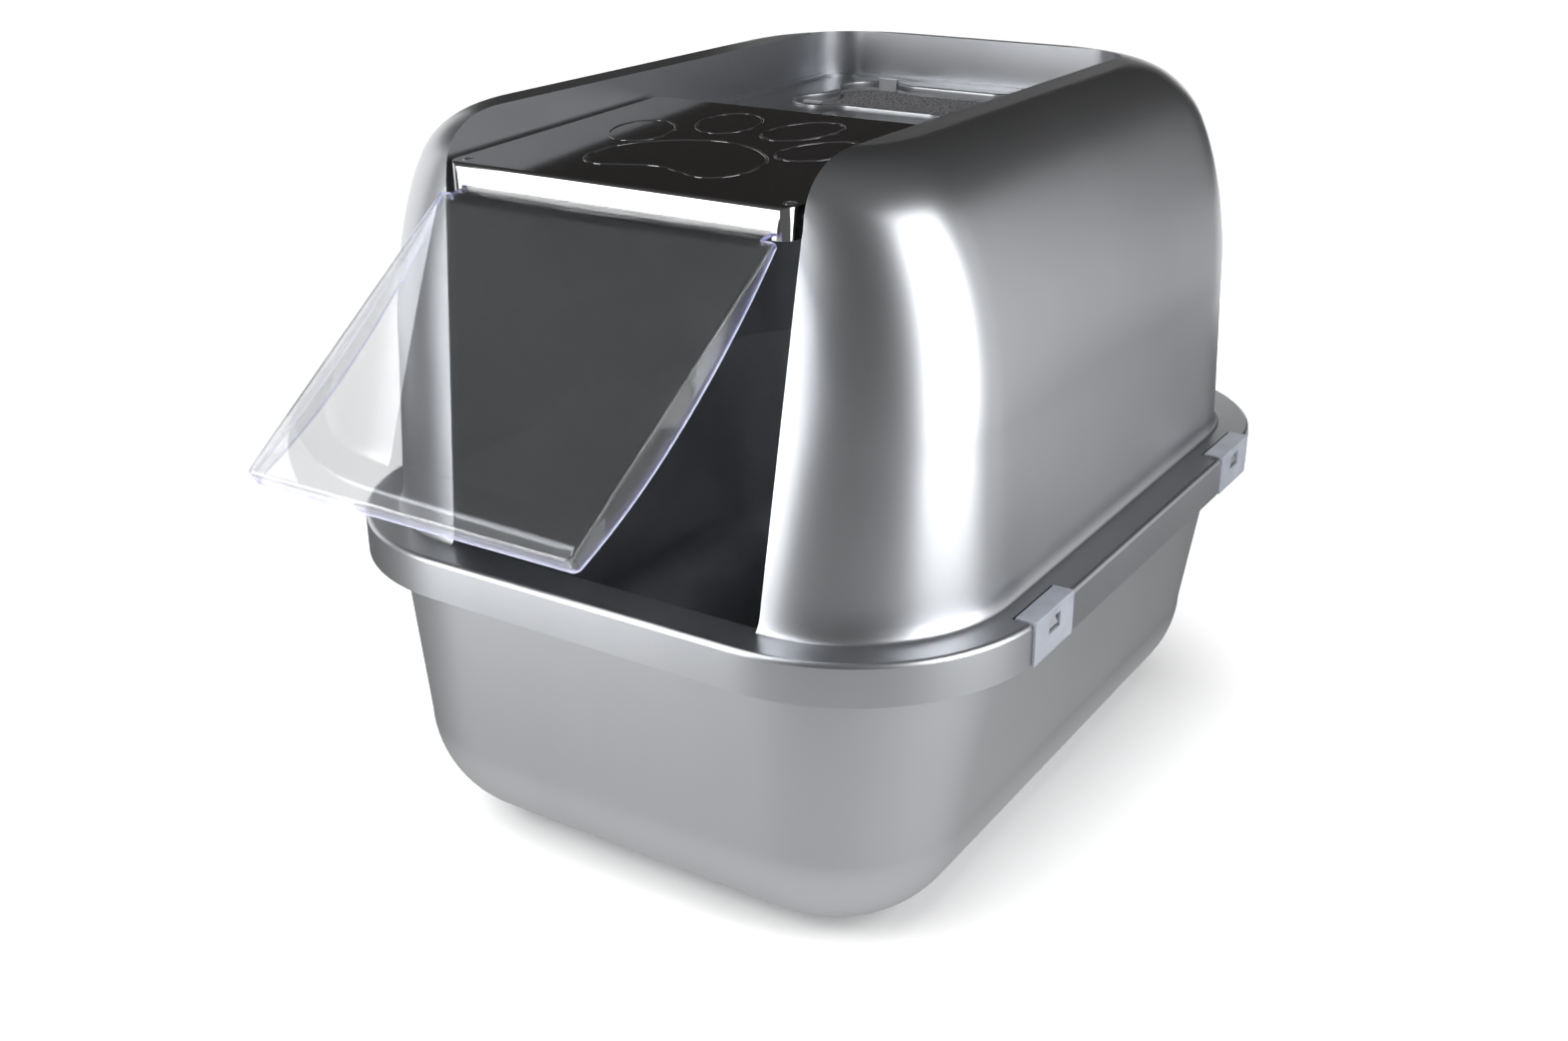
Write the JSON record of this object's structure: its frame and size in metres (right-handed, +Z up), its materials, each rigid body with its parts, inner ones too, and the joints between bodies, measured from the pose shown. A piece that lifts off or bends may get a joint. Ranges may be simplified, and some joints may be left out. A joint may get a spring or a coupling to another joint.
{
  "type": "hooded cat litter box",
  "caption": "Hooded cat litter box: deep tapered tub, domed hood with a roof recess, folding lid, clear swinging door, side clips and a carbon filter pad.",
  "frame": {"origin": "on the floor under the middle of the tub's flat foot", "axes": "+Z up, -Y out of the doorway, +X to the box's right as seen from in front"},
  "size_m": [0.4638, 0.683, 0.462],
  "materials": {
    "tub": "moulded plastic in pearl grey, satin",
    "hood": "gloss silver moulding with fine metallic flake",
    "clip": "satin grey moulding",
    "lid": "dark gloss moulding with a polished edge",
    "pivot": "dark grey moulding",
    "screw": "plated steel, cross recess",
    "door": "clear moulded plastic sheet",
    "tray": "grey moulding",
    "pad": "open-cell carbon foam"
  },
  "bodies": {
    "tub": {"tub": "tub"},
    "hood": {"hood": "hood", "filter_tray": "tray"},
    "clip_front_left": {"clip_front_left": "clip"},
    "clip_front_right": {"clip_front_right": "clip"},
    "clip_rear_left": {"clip_rear_left": "clip"},
    "clip_rear_right": {"clip_rear_right": "clip"},
    "lid": {"lid": "lid", "pivot_block_left": "pivot", "pivot_block_right": "pivot", "pivot_screws": "screw"},
    "door": {"door": "door"},
    "filter_pad": {"filter_pad": "pad"}
  },
  "joints": [
    {"name": "hood_lift", "type": "slide", "parent": "tub", "child": "hood", "axis": [0, 0, 1], "range_m": [0, 0.25]},
    {"name": "lid_hinge", "type": "hinge", "parent": "hood", "child": "lid", "pos_m": [0, -0.0307, 0.4412], "axis": [-1, 0, 0], "range_deg": [0, 175]},
    {"name": "door_swing", "type": "hinge", "parent": "lid", "child": "door", "pos_m": [0, -0.226, 0.4251], "axis": [-1, 0, 0], "range_deg": [-125.5, 9.5]},
    {"name": "clip_front_left_hinge", "type": "hinge", "parent": "hood", "child": "clip_front_left", "pos_m": [-0.2205, -0.1455, 0.2135], "axis": [0, 1, 0], "range_deg": [0, 90]},
    {"name": "clip_front_right_hinge", "type": "hinge", "parent": "hood", "child": "clip_front_right", "pos_m": [0.2205, -0.1455, 0.2135], "axis": [0, -1, 0], "range_deg": [0, 90]},
    {"name": "clip_rear_left_hinge", "type": "hinge", "parent": "hood", "child": "clip_rear_left", "pos_m": [-0.2205, 0.1455, 0.2135], "axis": [0, 1, 0], "range_deg": [0, 90]},
    {"name": "clip_rear_right_hinge", "type": "hinge", "parent": "hood", "child": "clip_rear_right", "pos_m": [0.2205, 0.1455, 0.2135], "axis": [0, -1, 0], "range_deg": [0, 90]},
    {"name": "filter_lift", "type": "slide", "parent": "hood", "child": "filter_pad", "axis": [0, 0, 1], "range_m": [0, 0.06]}
  ]
}
